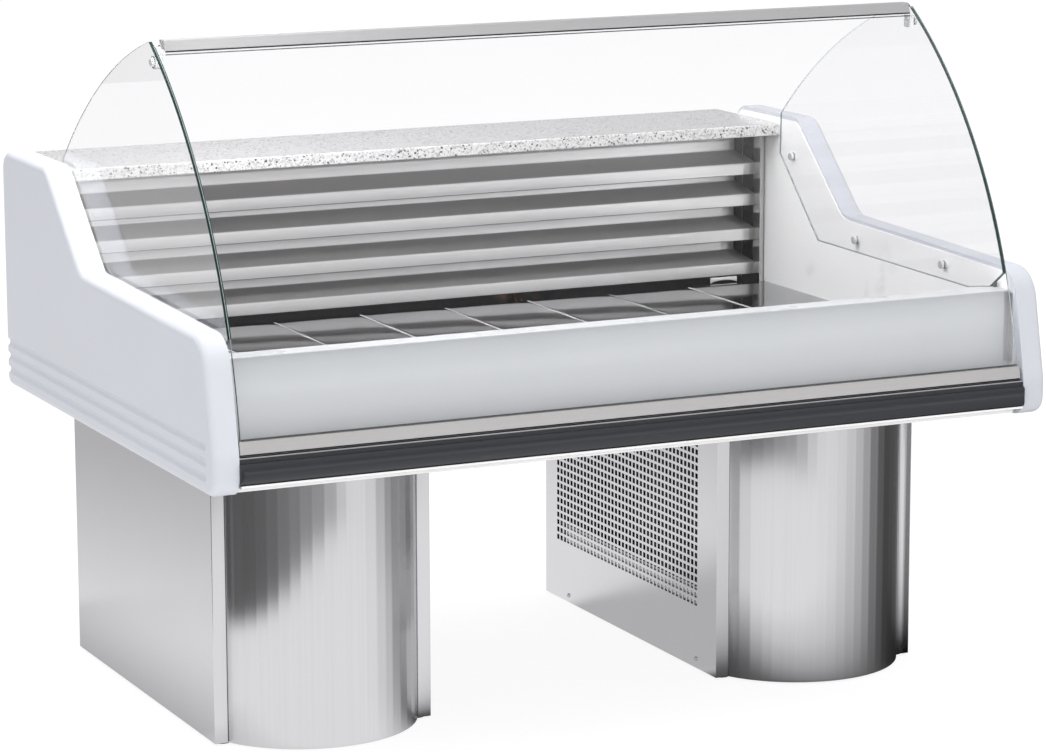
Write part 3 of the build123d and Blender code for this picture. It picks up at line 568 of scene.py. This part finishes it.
# ======================================================== curved pedestal fronts
def curved_front(name, xc, node, seed):
    """Step-bent sheet: 22 narrow flats round the bulge, each pair joined by a soft bend, and two joint strips."""
    rnd = random.Random(seed)
    r, cy, y_cut = 199.0, 89.0, 2.0
    a1 = math.acos((cy - y_cut) / r)
    count = 22
    steps = [1.0 + rnd.uniform(-0.16, 0.16) for _ in range(count)]
    total = sum(steps)
    angles = [-a1]
    for s in steps:
        angles.append(angles[-1] + 2 * a1 * s / total)
    radii = [r] + [r - rnd.uniform(0.0, 0.36) for _ in range(count - 1)] + [r]
    corner = [Vector((xc + k * math.sin(a), cy - k * math.cos(a), 0)) for a, k in zip(angles, radii)]
    outline = [corner[0]]
    for i in range(1, count):
        before = (corner[i - 1] - corner[i]).normalized()
        after = (corner[i + 1] - corner[i]).normalized()
        back = 1.9
        p, q = corner[i] + before * back, corner[i] + after * back
        for k in range(4):
            t = k / 3
            outline.append((1 - t) ** 2 * p + 2 * t * (1 - t) * corner[i] + t * t * q)
    outline.append(corner[-1])
    rows = [3, 8, 60, 150, 254, 360, 450, 501, 506]
    verts = [(p.x / 1000, p.y / 1000 - Y_MID, z / 1000) for z in rows for p in outline]
    n = len(outline)
    faces = [(j * n + i, j * n + i + 1, (j + 1) * n + i + 1, (j + 1) * n + i)
             for j in range(len(rows) - 1) for i in range(n - 1)]
    o = piece(name, verts, faces, PED, "cabinet", None, "curved_steel", (node,))
    o.data.polygons.foreach_set("use_smooth", [True] * len(faces))
    sheet(o, 0.002)
    w = o.modifiers.new("even", "WEIGHTED_NORMAL")
    w.keep_sharp = False
    w.weight = 90
    w.thresh = 0.001
    # stiffening ribs and joint strips behind the flanges
    rv, rf = [], []
    for z in (20.0, 486.0):
        ring = [(xc + 196.5 * math.sin(a), cy - 196.5 * math.cos(a)) for a in
                [-a1 + 2 * a1 * k / 36 for k in range(37)]]
        base = len(rv)
        for zz in (z, z + 2):
            rv += [(x / 1000, y / 1000 - Y_MID, zz / 1000) for x, y in ring]
        m = len(ring)
        rf.append(tuple(base + k for k in range(m))[::-1])
        rf.append(tuple(base + m + k for k in range(m)))
        rf += [(base + k, base + (k + 1) % m, base + m + (k + 1) % m, base + m + k) for k in range(m)]
    for s in (-1, 1):
        x0, x1 = sorted((xc + s * 176, xc + s * 198))
        base = len(rv)
        for z in (3, 506):
            rv += [(x / 1000, y / 1000 - Y_MID, z / 1000) for x, y in ((x0, 2.05), (x1, 2.05), (x1, 4), (x0, 4))]
        rf += [(base + 3, base + 2, base + 1, base), (base + 4, base + 5, base + 6, base + 7)]
        rf += [(base + k, base + (k + 1) % 4, base + 4 + (k + 1) % 4, base + 4 + k) for k in range(4)]
    ribs = piece(name + "_ribs", rv, rf, CASING, "cabinet", 30.0, "curved_steel")
    rounded(ribs, 0.0004)
    return o


curved_front("curved_front_left", -489.5, "pedestal_left_front", 11)
curved_front("curved_front_right", 489.5, "pedestal_right_front", 23)


# ================================================================ deck plates
def deck_plate(name, node, body, seed):
    """Folded steel plate, faintly dished and not quite level with its neighbours."""
    lo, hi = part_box(node)
    rnd = random.Random(seed)
    r = 0.0022
    inset = [0.0, 0.00025, 0.0007, 0.0013, 0.0022, 0.006, 0.014, 0.030]

    def steps(a, b, count):
        mid = [a + 0.030 + (b - a - 0.060) * k / count for k in range(1, count)]
        return [a + d for d in inset] + mid + [b - d for d in inset[::-1]]

    xs = steps(lo.x, hi.x, 8 if hi.x - lo.x > 0.1 else 3)
    ys = steps(lo.y, hi.y, 20)
    tilt, roll = rnd.uniform(-0.0035, 0.0035), rnd.uniform(-0.0012, 0.0012)
    bow = 0.00055 + rnd.uniform(0, 0.0003)
    cx, cy = (lo.x + hi.x) / 2, (lo.y + hi.y) / 2
    hx, hy = (hi.x - lo.x) / 2, (hi.y - lo.y) / 2
    top = hi.z - 0.0003 - abs(tilt) * hx - abs(roll) * hy
    verts = []
    for y in ys:
        for x in xs:
            dx, dy = min(x - lo.x, hi.x - x), min(y - lo.y, hi.y - y)
            a, b = max(0.0, r - dx), max(0.0, r - dy)
            d = min(r, math.hypot(a, b))
            z = top - (r - math.sqrt(max(0.0, r * r - d * d)))
            u, v = (x - cx) / hx, (y - cy) / hy
            z += tilt * (x - cx) + roll * (y - cy) - bow * (u * u) ** 1.6 - 0.0004 * (v * v) ** 4
            verts.append((x, y, z))
    nx, ny = len(xs), len(ys)
    faces = [(j * nx + i, j * nx + i + 1, (j + 1) * nx + i + 1, (j + 1) * nx + i)
             for j in range(ny - 1) for i in range(nx - 1)]
    rim = [i for i in range(nx)] + [j * nx + nx - 1 for j in range(1, ny)] + \
          [(ny - 1) * nx + i for i in range(nx - 2, -1, -1)] + [j * nx for j in range(ny - 2, 0, -1)]
    base = len(verts)
    verts += [(verts[k][0], verts[k][1], lo.z + 0.0002) for k in rim]
    m = len(rim)
    faces += [(rim[k], base + k, base + (k + 1) % m, rim[(k + 1) % m]) for k in range(m)]
    o = piece(name, verts, faces, DECK, body, 60.0, "deck_steel", (node,))
    sheet(o, 0.0012)
    return o


for i in range(1, 9):
    deck_plate("deck_plate_%d" % i, "deck_pan_%d" % i, "deck_pan_%d" % i, 40 + i)
deck_plate("deck_plate_end", "deck_end_strip", "deck_end_strip", 60)


# =============================================================== louvre slats
def slat(i, z, seed):
    """Folded louvre slat: hemmed front lip, rising blade and upright flange with its ends cut back."""
    rnd = random.Random(seed)
    y0, y1 = 694.0, 740.0
    t = z + 24.0
    b = t + 21.0
    run = Vector((y1 - y0, b - t)).normalized()
    path = []
    for k in range(9):
        a = math.pi * (1.0 - k / 8)
        path.append((y0 + 1.7 - 1.7 * math.cos(a), z + 1.7 - 1.7 * math.sin(a), 0.0))
    path.insert(0, (y0 + 3.4, z + 8.0, 0.0))

    def bend(p, q, r, e0, e1):
        for k in range(5):
            w = k / 4
            path.append(((1 - w) ** 2 * p[0] + 2 * w * (1 - w) * q[0] + w * w * r[0],
                         (1 - w) ** 2 * p[1] + 2 * w * (1 - w) * q[1] + w * w * r[1], e0 + (e1 - e0) * w))
    bend((y0, t - 3), (y0, t), (y0 + 3 * run.x, t + 3 * run.y), 0.0, 0.0)
    bend((y1 - 3 * run.x, b - 3 * run.y), (y1, b), (y1, b + 3), 20.0, 23.0)
    path.append((y1, b + 16.0, 23.0))
    path.append((y1, b + 28.0, 23.0))
    cols = 49
    waves = [(rnd.uniform(0.03, 0.08), rnd.uniform(2.0, 6.0), rnd.uniform(0, 6.28)) for _ in range(3)]
    verts, faces = [], []
    for y, zz, inset in path:
        for c in range(cols):
            w = c / (cols - 1)
            x = -(735.0 - inset) + 2 * (735.0 - inset) * w
            sway = sum(a * math.sin(f * 6.28 * w + h + 0.02 * zz) for a, f, h in waves)
            verts.append((x / 1000, (y + sway) / 1000 - Y_MID, zz / 1000))
    for r in range(len(path) - 1):
        for c in range(cols - 1):
            faces.append((r * cols + c, r * cols + c + 1, (r + 1) * cols + c + 1, (r + 1) * cols + c))
    o = piece("louvre_blade_%d" % i, verts, faces, LOUVRE, "cabinet", 50.0, "louvre_steel", ("louvre_slat_%d" % i,))
    return sheet(o, 0.0012)


for i, z in enumerate((817.5, 755.0, 685.0, 616.0)):
    slat(i + 1, z, 70 + i)


# ================================================================ glass seals
GL_CY, GL_CZ, GL_R = 616.4, 463.0, 903.4


def on_glass(z, out):
    """Point on the outer face of the front glass at height z, moved out along its normal, in drawing mm."""
    y = GL_CY - math.sqrt(GL_R ** 2 - (z - GL_CZ) ** 2)
    ny, nz = (y - GL_CY) / GL_R, (z - GL_CZ) / GL_R
    return (y + ny * out, z + nz * out)


seal = [on_glass(1194.2, 0.05), on_glass(1194.5, 0.7), on_glass(1196.0, 1.0), on_glass(1198.6, 1.0), on_glass(1198.6, 0.05)]
rounded(piece("bar_seal_outer", *along_x(seal, -726.5, 726.5, 24), RUBBER, "front_glass_assembly"), 0.0003)
seal = [on_glass(1192.3, -6.05), on_glass(1192.5, -6.5), on_glass(1193.1, -6.8), on_glass(1194.0, -6.8), on_glass(1194.0, -6.05)]
rounded(piece("bar_seal_inner", *along_x(seal, -726.5, 726.5, 24), GREY_RUBBER, "front_glass_assembly"), 0.00015)
seal = [on_glass(594.8, 0.05), on_glass(594.8, 1.7), on_glass(595.9, 1.4), on_glass(596.7, 0.6), on_glass(596.9, 0.05)]
rounded(piece("profile_seal_outer", *along_x(seal, -741.5, 741.5, 24), GREY_RUBBER, "front_glass_assembly"), 0.0003)
seal = [on_glass(594.8, -6.05), on_glass(594.8, -8.6), on_glass(597.0, -8.2), on_glass(598.4, -6.9), on_glass(598.6, -6.05)]
rounded(piece("profile_seal_inner", *along_x(seal, -741.5, 741.5, 24), RUBBER, "front_glass_assembly"), 0.0003)
seal = [(-281.5, 574.2), (-281.5, 572.4), (-279.5, 571.3), (-273.5, 571.3), (-271.5, 572.4), (-271.5, 574.2)]
rounded(piece("profile_seal_lower", *along_x(seal, -745.5, 745.5, 24), RUBBER, "front_glass_assembly"), 0.0003)

# ============================================================ apron end trims
for side, tag in ((-1, "left"), (1, "right")):
    fold = [(-235.05, 0), (-236.3, 0), (-236.3, 9.5), (-246.5, 9.5), (-246.5, 10.7), (-235.05, 10.7)]
    verts, faces = [], []
    for z in (598.0, 600.5, 720.0, 722.5):
        verts += [(side * (738.5 + a) / 1000, y / 1000 - Y_MID, z / 1000) for y, a in fold]
    n = len(fold)
    for k in range(3):
        for i in range(n):
            j = (i + 1) % n
            f = (k * n + i, k * n + j, (k + 1) * n + j, (k + 1) * n + i)
            faces.append(f if side < 0 else f[::-1])
    end = (tuple(range(n))[::-1], tuple(3 * n + i for i in range(n)))
    faces += [end[0] if side < 0 else end[0][::-1], end[1] if side < 0 else end[1][::-1]]
    rounded(piece("apron_trim_" + tag, verts, faces, ALU, "cabinet", 30.0, "bare_aluminium"), 0.0003)

# ================================== white cover strips along the edges under the bumper
strip = [(-292.55, 520.3), (-292.55, 524.3), (-292.95, 524.1), (-292.95, 520.5)]
rounded(piece("carrier_lip_cover", *along_x(strip, -748.0, 748.0, 24), WHITE, "cabinet"), 0.00008)
strip = [(-264.05, 508.4), (-264.05, 518.6), (-264.55, 518.2), (-264.55, 508.8)]
rounded(piece("apron_edge_cover", *along_x(strip, -744.0, 744.0, 24), WHITE, "cabinet"), 0.00008)

# ==================================== rubber rests between the sill and each side glass
for side, tag in ((-1, "left"), (1, "right")):
    outline = [(-203.5, 726.9), (-198.0, 726.9), (-198.0, 733.2), (-199.0, 734.2), (-202.5, 736.6), (-203.5, 736.0)]
    x0, x1 = sorted((side * 737.0, side * 742.5))
    rounded(piece("glass_rest_" + tag, *along_x(outline, x0, x1, 4), GREY_RUBBER, "cabinet"), 0.0005)

# ================================== white bow clip under the hem of the lowest slat
bow = []
for k in range(25):
    t = k / 24
    lift = math.sin(math.pi * t) ** 0.7
    bow.append((0.637 + 0.058 * t, 0.4030, 0.6089 + 0.0024 * lift))
verts, faces = [], []
for k, (x, y, z) in enumerate(bow):
    a = Vector(bow[max(0, k - 1)])
    b = Vector(bow[min(24, k + 1)])
    t = (b - a).normalized()
    side = Vector((0, 0, 1)).cross(t).normalized()
    w, h = 0.0021, 0.0054 - 0.0025 * math.sin(math.pi * k / 24) ** 0.7
    for sy, sz in ((-1, -0.72), (-1, 0.72), (-0.6, 1), (0.6, 1), (1, 0.72), (1, -0.72), (0.6, -1), (-0.6, -1)):
        p = Vector((x, y, z)) + side * (sy * w) + Vector((0, 0, sz * h))
        verts.append(tuple(p))
for k in range(24):
    for i in range(8):
        j = (i + 1) % 8
        faces.append((k * 8 + i, (k + 1) * 8 + i, (k + 1) * 8 + j, k * 8 + j))
faces += [tuple(range(8)), tuple(24 * 8 + i for i in range(8))[::-1]]
piece("bow_clip", verts, faces, WHITE, "cabinet", 40.0)

# ================================================================ control panel
FACE_Y = 0.8076 - Y_MID


def plate_marks(name, shapes, y, mat, body, depth=0.00035):
    """Thin raised marks on a face looking along +Y; shapes are lists of (x, z) in metres."""
    verts, faces = [], []
    for s in shapes:
        n = len(s)
        area = sum(s[i][0] * s[(i + 1) % n][1] - s[(i + 1) % n][0] * s[i][1] for i in range(n))
        if area > 0:
            s = s[::-1]
        base = len(verts)
        verts += [(x, y - 0.0002, z) for x, z in s] + [(x, y + depth, z) for x, z in s]
        faces.append(tuple(base + i for i in range(n))[::-1])
        faces.append(tuple(base + n + i for i in range(n)))
        faces += [(base + i, base + (i + 1) % n, base + n + (i + 1) % n, base + n + i) for i in range(n)]
    return rounded(piece(name, verts, faces, mat, body, 30.0), 0.00008, 1)


SEGMENTS = {"2": "abged", "0": "abcdef"}


def digit(x, z, what, w=0.0085, h=0.0150, t=0.0019):
    """Seven-segment strokes, seen from behind the counter, so +X is to the left."""
    out = []
    g = 0.0003

    def bar(ax, az, bx, bz):
        dx, dz = bx - ax, bz - az
        l = math.hypot(dx, dz)
        ux, uz = dx / l, dz / l
        px, pz = -uz * t / 2, ux * t / 2
        a = (ax + ux * g, az + uz * g)
        b = (bx - ux * g, bz - uz * g)
        k = t / 2
        out.append([(x - p, z + q) for p, q in (a, (a[0] + ux * k + px, a[1] + uz * k + pz), (b[0] - ux * k + px, b[1] - uz * k + pz),
                                                b, (b[0] - ux * k - px, b[1] - uz * k - pz), (a[0] + ux * k - px, a[1] + uz * k - pz))])
    place = {"a": (0, h, w, h), "b": (w, h, w, h / 2), "c": (w, h / 2, w, 0), "d": (0, 0, w, 0),
             "e": (0, h / 2, 0, 0), "f": (0, h, 0, h / 2), "g": (0, h / 2, w, h / 2)}
    for s in SEGMENTS[what]:
        bar(*place[s])
    return out


marks = digit(0.391, 0.7525, "2") + digit(0.375, 0.7525, "0")
marks.append([(0.3786 + 0.0011 * math.cos(a), 0.7527 + 0.0011 * math.sin(a)) for a in [k * math.pi / 5 for k in range(10)]])
plate_marks("display_digits", marks, FACE_Y, DIGIT, "cabinet")
for tag, x, s in (("up", 0.428, 1), ("down", 0.452, -1)):
    plate_marks("button_mark_" + tag, [[(x - 0.0027, 0.760 - s * 0.0016), (x + 0.0027, 0.760 - s * 0.0016), (x, 0.760 + s * 0.0024)]],
                0.8088 - Y_MID, DARK_MARK, "button_" + tag, 0.0002)

# ====================================== drip channel behind the lowest grille rows
channel = [(0.2915, 0.020), (0.2915, 0.151), (0.2925, 0.1545), (0.2955, 0.1545), (0.2955, 0.1532), (0.2932, 0.1528), (0.2930, 0.150), (0.2930, 0.020)]
verts, faces = [], []
for y in (-0.235, -0.05, 0.15, 0.352):
    verts += [(x, y, z) for x, z in channel]
n = len(channel)
for k in range(3):
    for i in range(n):
        j = (i + 1) % n
        faces.append((k * n + i, k * n + j, (k + 1) * n + j, (k + 1) * n + i))
faces += [tuple(range(n))[::-1], tuple(3 * n + i for i in range(n))]
o = piece("drip_channel", verts, faces, ZINC, "cabinet", 30.0)


# ================================================= filter mat behind the air slots
rnd = random.Random(5)
nx_, nz_ = 28, 30
puff = [[rnd.uniform(-0.0006, 0.0006) + 0.0012 * math.sin(math.pi * ((i * 0.25) % 1)) * math.sin(math.pi * ((j * 0.25) % 1))
         for i in range(nx_ + 1)] for j in range(nz_ + 1)]
verts, faces = [], []
for back in (0, 1):
    for j in range(nz_ + 1):
        for i in range(nx_ + 1):
            x, z = 0.322 + 0.337 * i / nx_, 0.118 + 0.357 * j / nz_
            verts.append((x, 0.404 - puff[j][i] if not back else 0.412 + puff[j][i], z))
per = (nx_ + 1) * (nz_ + 1)
for j in range(nz_):
    for i in range(nx_):
        q = (j * (nx_ + 1) + i, j * (nx_ + 1) + i + 1, (j + 1) * (nx_ + 1) + i + 1, (j + 1) * (nx_ + 1) + i)
        faces.append(q)
        faces.append(tuple(per + k for k in q[::-1]))
rim = [i for i in range(nx_ + 1)] + [j * (nx_ + 1) + nx_ for j in range(1, nz_ + 1)] + \
      [nz_ * (nx_ + 1) + i for i in range(nx_ - 1, -1, -1)] + [j * (nx_ + 1) for j in range(nz_ - 1, 0, -1)]
faces += [(rim[(k + 1) % len(rim)], rim[k], per + rim[k], per + rim[(k + 1) % len(rim)]) for k in range(len(rim))]
piece("air_filter", verts, faces, FILTER, "cabinet", 60.0)


# ======================================================================= stage
def plane(name, outline, z, mat):
    me = bpy.data.meshes.new(name)
    me.from_pydata([(x, y, z) for x, y in outline], [], [tuple(range(len(outline)))])
    o = bpy.data.objects.new(name, me)
    scene.collection.objects.link(o)
    me.materials.append(mat)
    return o


def floor_paint(name, base, lift):
    m = Mat(name, spec=0.0, glow=(1.0, 1.0, 1.0), glow_strength=lift)
    n = m.noise(m.coord(), 3.0, 3.0, 0.5)
    m.to("color", m.mix(n, shade(base, 0.995), shade(base, 1.005)))
    m.to("rough", m.span(n, 0.2, 0.8, 0.85, 0.95))
    return m.m


def paper_paint(name):
    """What shiny metal sees of the studio floor: bright paper with a rounded edge on the left, dim under the
    counter and darkening round to the right."""
    m = Mat(name, color=(0.02, 0.02, 0.02), rough=0.9, spec=0.0, glow_strength=1.0)
    m.coord()
    sep = m.node("ShaderNodeSeparateXYZ")
    m.feed(sep.inputs[0], m.tex.outputs["Object"])
    x, y = sep.outputs[0], sep.outputs[1]

    def turn(a, b):
        return m.span(m.math("ARCTAN2", a, b), -math.pi, math.pi, 0.0, 1.0)

    def by_angle(v, stops):
        return m.ramp(v, [((a + 180) / 360, c) for a, c in stops])

    # rounded left and front edge
    dx, dy = m.math("ADD", x, 0.15), m.math("ADD", y, 0.35)
    u, v = m.math("DIVIDE", dx, 1.31), m.math("DIVIDE", dy, 1.68)
    e = m.math("SQRT", m.math("ADD", m.math("MULTIPLY", u, u), m.math("MULTIPLY", v, v)))
    phi = turn(m.math("MULTIPLY", dy, -1.0), m.math("MULTIPLY", dx, -1.0))
    beyond = by_angle(phi, ((-180, 1.0), (-110, 1.0), (-75, 0.66), (-45, 0.52), (-18, 0.50), (-10, 0.06), (20, 0.11), (45, 0.21),
                            (65, 0.30), (85, 0.40), (96, 0.75), (106, 1.0), (180, 1.0)))
    soft = by_angle(phi, ((-180, 1.0), (-18, 1.0), (-10, 0.0), (180, 0.0)))
    sharp = m.span(e, 0.96, 1.08, 0.0, 1.0)
    slow = m.span(e, 0.72, 1.75, 0.0, 1.0)
    out = m.channel(m.mix(soft, sharp, slow))
    left = m.channel(m.mix(out, (1.0, 1.0, 1.0), beyond))
    # round to the right
    theta = turn(m.math("MULTIPLY", m.math("ADD", y, 0.30), -1.0), m.math("SUBTRACT", x, 0.45))
    right = m.channel(by_angle(theta, ((-180, 1.0), (-95, 1.0), (-75, 0.70), (-52, 0.26), (-34, 0.08), (-5, 0.06), (14, 0.17), (32, 0.58), (50, 0.82),
                                       (72, 0.95), (90, 1.0), (180, 1.0))))
    # painted shade: a darker wedge across in front of the right pedestal, as the left one sees it
    across = turn(m.math("MULTIPLY", m.math("ADD", y, 0.30), -1.0), m.math("ADD", x, 0.52))
    wedge = m.channel(by_angle(across, ((-180, 1.0), (-5, 1.0), (-2, 0.08), (4, 0.17), (12, 0.50), (22, 0.76), (40, 1.0), (180, 1.0))))
    # shade under the counter
    side = m.span(m.math("ABSOLUTE", x), 0.95, 0.70, 0.0, 1.0)
    under = m.math("MULTIPLY", side, m.math("MULTIPLY", m.span(m.math("MULTIPLY_ADD", x, 0.41, y), 0.465, 0.405, 0.0, 1.0), m.span(y, -0.42, -0.20, 0.0, 1.0)))
    n = m.noise(m.coord(), 2.0, 2.0, 0.5)
    tone = m.mix(n, (0.99, 0.985, 1.0), (1.02, 1.015, 1.03))
    level = m.math("MULTIPLY", m.math("MULTIPLY", left, m.math("MULTIPLY", right, wedge)), m.span(under, 0.0, 1.0, 1.0, 0.60))
    m.to("glow", m.mix(level, (0.0, 0.0, 0.0), tone))
    return m.m


PALE = floor_paint("pale_floor", (0.20, 0.20, 0.2012), 0.87)
floor = plane("floor", [(-40, -40), (40, -40), (40, 40), (-40, 40)], 0.0, PALE)
floor.visible_glossy = False
floor.visible_shadow = False
# the sheet of studio paper under the counter, as shiny metal sees it
paper = plane("paper", [(-6.0, -3.4), (6.0, -3.4), (6.0, 9.0), (-6.0, 9.0)], 0.0004, paper_paint("studio_paper"))
paper.visible_camera = paper.visible_diffuse = paper.visible_transmission = paper.visible_shadow = False

world = bpy.data.worlds.new("studio")
scene.world = world
world.use_nodes = True
wt = world.node_tree
wt.nodes.clear()


def sky(kind, **props):
    n = wt.nodes.new(kind)
    for k, v in props.items():
        setattr(n, k, v)
    return n


def sky_ramp(socket, lo, hi, stops):
    m = sky("ShaderNodeMapRange")
    m.inputs[1].default_value, m.inputs[2].default_value = lo, hi
    wt.links.new(socket, m.inputs[0])
    r = sky("ShaderNodeValToRGB")
    el = r.color_ramp.elements
    while len(el) < len(stops):
        el.new(0.5)
    for e, (pos, v) in zip(el, stops):
        e.position = (pos - lo) / (hi - lo)
        e.color = (v, v, v * 1.01, 1)
    wt.links.new(m.outputs[0], r.inputs[0])
    return r.outputs[0]


way = sky("ShaderNodeSeparateXYZ")
wt.links.new(sky("ShaderNodeTexCoord").outputs["Generated"], way.inputs[0])
ahead = sky_ramp(way.outputs[2], -1.0, 1.0, ((-1.0, 0.05), (-0.03, 0.07), (0.01, 1.25), (0.25, 1.25), (0.37, 0.16), (0.62, 0.14), (0.80, 0.45), (1.0, 0.45)))
rest = sky_ramp(way.outputs[2], -1.0, 1.0, ((-1.0, 0.05), (-0.03, 0.07), (0.02, 0.42), (0.40, 0.45), (1.0, 0.45)))
front = sky_ramp(way.outputs[1], -1.0, 1.0, ((-1.0, 1.0), (-0.55, 1.0), (-0.15, 0.0), (1.0, 0.0)))
blend = sky("ShaderNodeMix", data_type="RGBA")
wt.links.new(front, blend.inputs[0])
wt.links.new(rest, blend.inputs[6])
wt.links.new(ahead, blend.inputs[7])
glow = sky("ShaderNodeBackground")
glow.inputs[1].default_value = 1.5
wt.links.new(blend.outputs[2], glow.inputs[0])
wt.links.new(glow.outputs[0], sky("ShaderNodeOutputWorld").inputs[0])


def area(name, loc, target, size, power, colour=(1, 1, 1), glossy=True):
    l = bpy.data.lights.new(name, "AREA")
    l.shape = "RECTANGLE"
    l.size, l.size_y = size
    l.energy = power
    l.color = colour
    o = bpy.data.objects.new(name, l)
    scene.collection.objects.link(o)
    o.location = loc
    o.rotation_mode = "QUATERNION"
    o.rotation_quaternion = (Vector(target) - Vector(loc)).to_track_quat("-Z", "Y")
    o.visible_glossy = glossy
    o.visible_camera = False
    o.visible_transmission = False
    return o


area("top_light", (0.4, 0.6, 5.5), (0.2, 0.4, 0.0), (7.0, 7.0), 215, glossy=False)
area("front_light", (-0.6, -5.0, 3.0), (0.0, 0.0, 0.6), (4.0, 2.6), 49, glossy=False)
area("well_light", (-0.35, -0.55, 2.7), (0.15, 0.05, 0.7), (1.3, 1.0), 10, glossy=False)
area("side_light", (-0.66, -0.05, 1.50), (0.75, -0.02, 0.80), (0.9, 0.5), 13, glossy=False)
area("left_light", (-4.6, -0.5, 0.9), (0.0, 0.0, 0.7), (2.2, 1.6), 14, glossy=False)
area("back_light", (1.5, 9.0, 5.0), (1.5, 6.5, 0.0), (12.0, 6.0), 60, glossy=False)

# ====================================================================== camera
F_PX, W_PX = 3854.365, 1046.0
YAW, PITCH, ROLL = math.radians(25.159), math.radians(11.118), math.radians(-0.155)
d = Vector((math.sin(YAW) * math.cos(PITCH), math.cos(YAW) * math.cos(PITCH), -math.sin(PITCH)))
r = Vector((math.cos(YAW), -math.sin(YAW), 0.0))
u = r.cross(d)
r2 = math.cos(ROLL) * r + math.sin(ROLL) * u
u2 = -math.sin(ROLL) * r + math.cos(ROLL) * u
cam = bpy.data.cameras.new("camera")
cam.sensor_fit = "HORIZONTAL"
cam.sensor_width = 36.0
cam.lens = F_PX / W_PX * 36.0
cam.clip_start, cam.clip_end = 0.1, 200.0
co = bpy.data.objects.new("camera", cam)
scene.collection.objects.link(co)
co.matrix_world = Matrix(((r2.x, u2.x, -d.x, -2.93637), (r2.y, u2.y, -d.y, -6.321985), (r2.z, u2.z, -d.z, 1.910375), (0, 0, 0, 1)))
scene.camera = co

scene.view_settings.view_transform = "Standard"
scene.view_settings.look = "None"
scene.cycles.use_denoising = True
scene.cycles.max_bounces = 14
scene.cycles.transmission_bounces = 12
scene.cycles.glossy_bounces = 6
scene.cycles.diffuse_bounces = 4
scene.cycles.sample_clamp_indirect = 8.0

bpy.context.view_layer.update()
